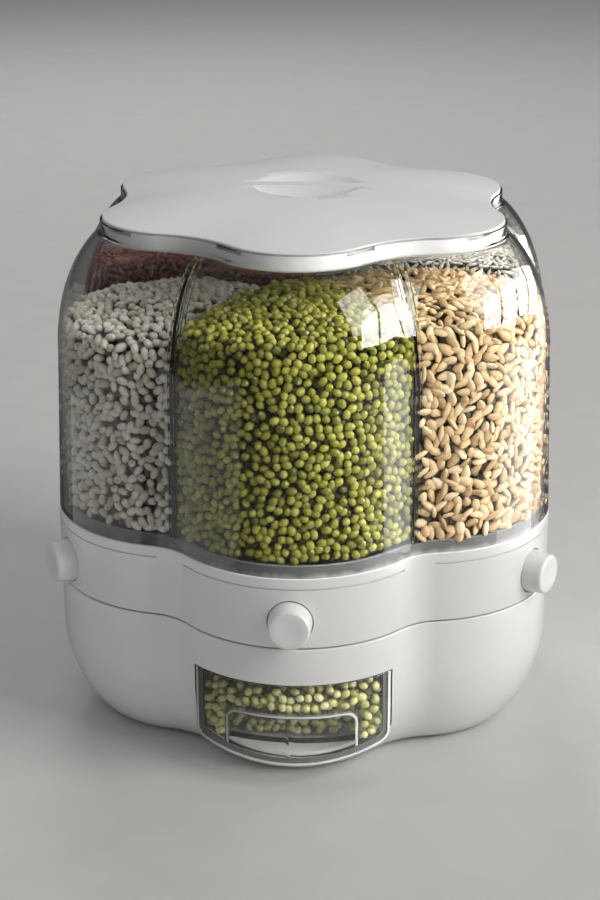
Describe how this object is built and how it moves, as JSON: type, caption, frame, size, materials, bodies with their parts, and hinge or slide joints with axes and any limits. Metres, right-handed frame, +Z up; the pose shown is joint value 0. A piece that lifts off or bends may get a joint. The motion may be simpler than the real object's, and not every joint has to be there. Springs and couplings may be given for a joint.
{
  "type": "rotating cereal dispenser",
  "caption": "Lobed clear canister with compartments that turns on a white base; push buttons drop grain into a front drawer, under a lift-off lid.",
  "frame": {"origin": "on the ground under the turning axis", "axes": "+Z up along the turning axis, -Y towards the drawer, +X to the right seen from the front"},
  "size_m": [0.2964, 0.328, 0.307],
  "materials": {
    "white_gloss": "satin white moulded plastic",
    "white_matte": "plain white plastic inside",
    "clear": "clear polished plastic",
    "grey_plastic": "pale grey plastic",
    "slick_plastic": "slippery bearing plastic",
    "rubber": "soft dark rubber",
    "steel": "bright steel"
  },
  "bodies": {
    "base": {"base_housing": "white_gloss", "rubber_feet": "rubber", "base_deck": "white_matte", "glide_pads": "slick_plastic", "pivot_screw": "steel", "drawer_bay": "white_matte"},
    "rotor": {"rotor_deck": "white_matte", "button_ring": "white_gloss", "funnel_tray": "grey_plastic", "partition_star": "clear", "container_shell": "clear", "spring_1": "steel", "spring_2": "steel", "spring_3": "steel", "spring_4": "steel", "spring_5": "steel", "spring_6": "steel"},
    "lid": {"lid_cover": "white_gloss", "lid_liner": "white_matte"},
    "drawer": {"drawer_bin": "clear"},
    "push_1": {"button_1": "white_gloss", "gate_1": "white_matte"},
    "push_2": {"button_2": "white_gloss", "gate_2": "white_matte"},
    "push_3": {"button_3": "white_gloss", "gate_3": "white_matte"},
    "push_4": {"button_4": "white_gloss", "gate_4": "white_matte"},
    "push_5": {"button_5": "white_gloss", "gate_5": "white_matte"},
    "push_6": {"button_6": "white_gloss", "gate_6": "white_matte"}
  },
  "joints": [
    {"name": "turn", "type": "hinge", "parent": "base", "child": "rotor", "pos_m": [0, 0, 0.087], "axis": [0, 0, 1], "continuous": true},
    {"name": "lid_lift", "type": "slide", "parent": "rotor", "child": "lid", "axis": [0, 0, 1], "range_m": [0, 0.1]},
    {"name": "drawer_slide", "type": "slide", "parent": "base", "child": "drawer", "axis": [0, -1, 0], "range_m": [0, 0.095]},
    {"name": "press_1", "type": "slide", "parent": "rotor", "child": "push_1", "axis": [0, 1, 0], "range_m": [0, 0.01], "stiffness_N_per_m": 180, "springref_m": -0.004, "deforming": ["spring_1"]},
    {"name": "press_2", "type": "slide", "parent": "rotor", "child": "push_2", "axis": [-0.866, 0.5, 0], "range_m": [0, 0.01], "stiffness_N_per_m": 180, "springref_m": -0.004, "deforming": ["spring_2"]},
    {"name": "press_3", "type": "slide", "parent": "rotor", "child": "push_3", "axis": [-0.866, -0.5, 0], "range_m": [0, 0.01], "stiffness_N_per_m": 180, "springref_m": -0.004, "deforming": ["spring_3"]},
    {"name": "press_4", "type": "slide", "parent": "rotor", "child": "push_4", "axis": [0, -1, 0], "range_m": [0, 0.01], "stiffness_N_per_m": 180, "springref_m": -0.004, "deforming": ["spring_4"]},
    {"name": "press_5", "type": "slide", "parent": "rotor", "child": "push_5", "axis": [0.866, -0.5, 0], "range_m": [0, 0.01], "stiffness_N_per_m": 180, "springref_m": -0.004, "deforming": ["spring_5"]},
    {"name": "press_6", "type": "slide", "parent": "rotor", "child": "push_6", "axis": [0.866, 0.5, 0], "range_m": [0, 0.01], "stiffness_N_per_m": 180, "springref_m": -0.004, "deforming": ["spring_6"]}
  ]
}
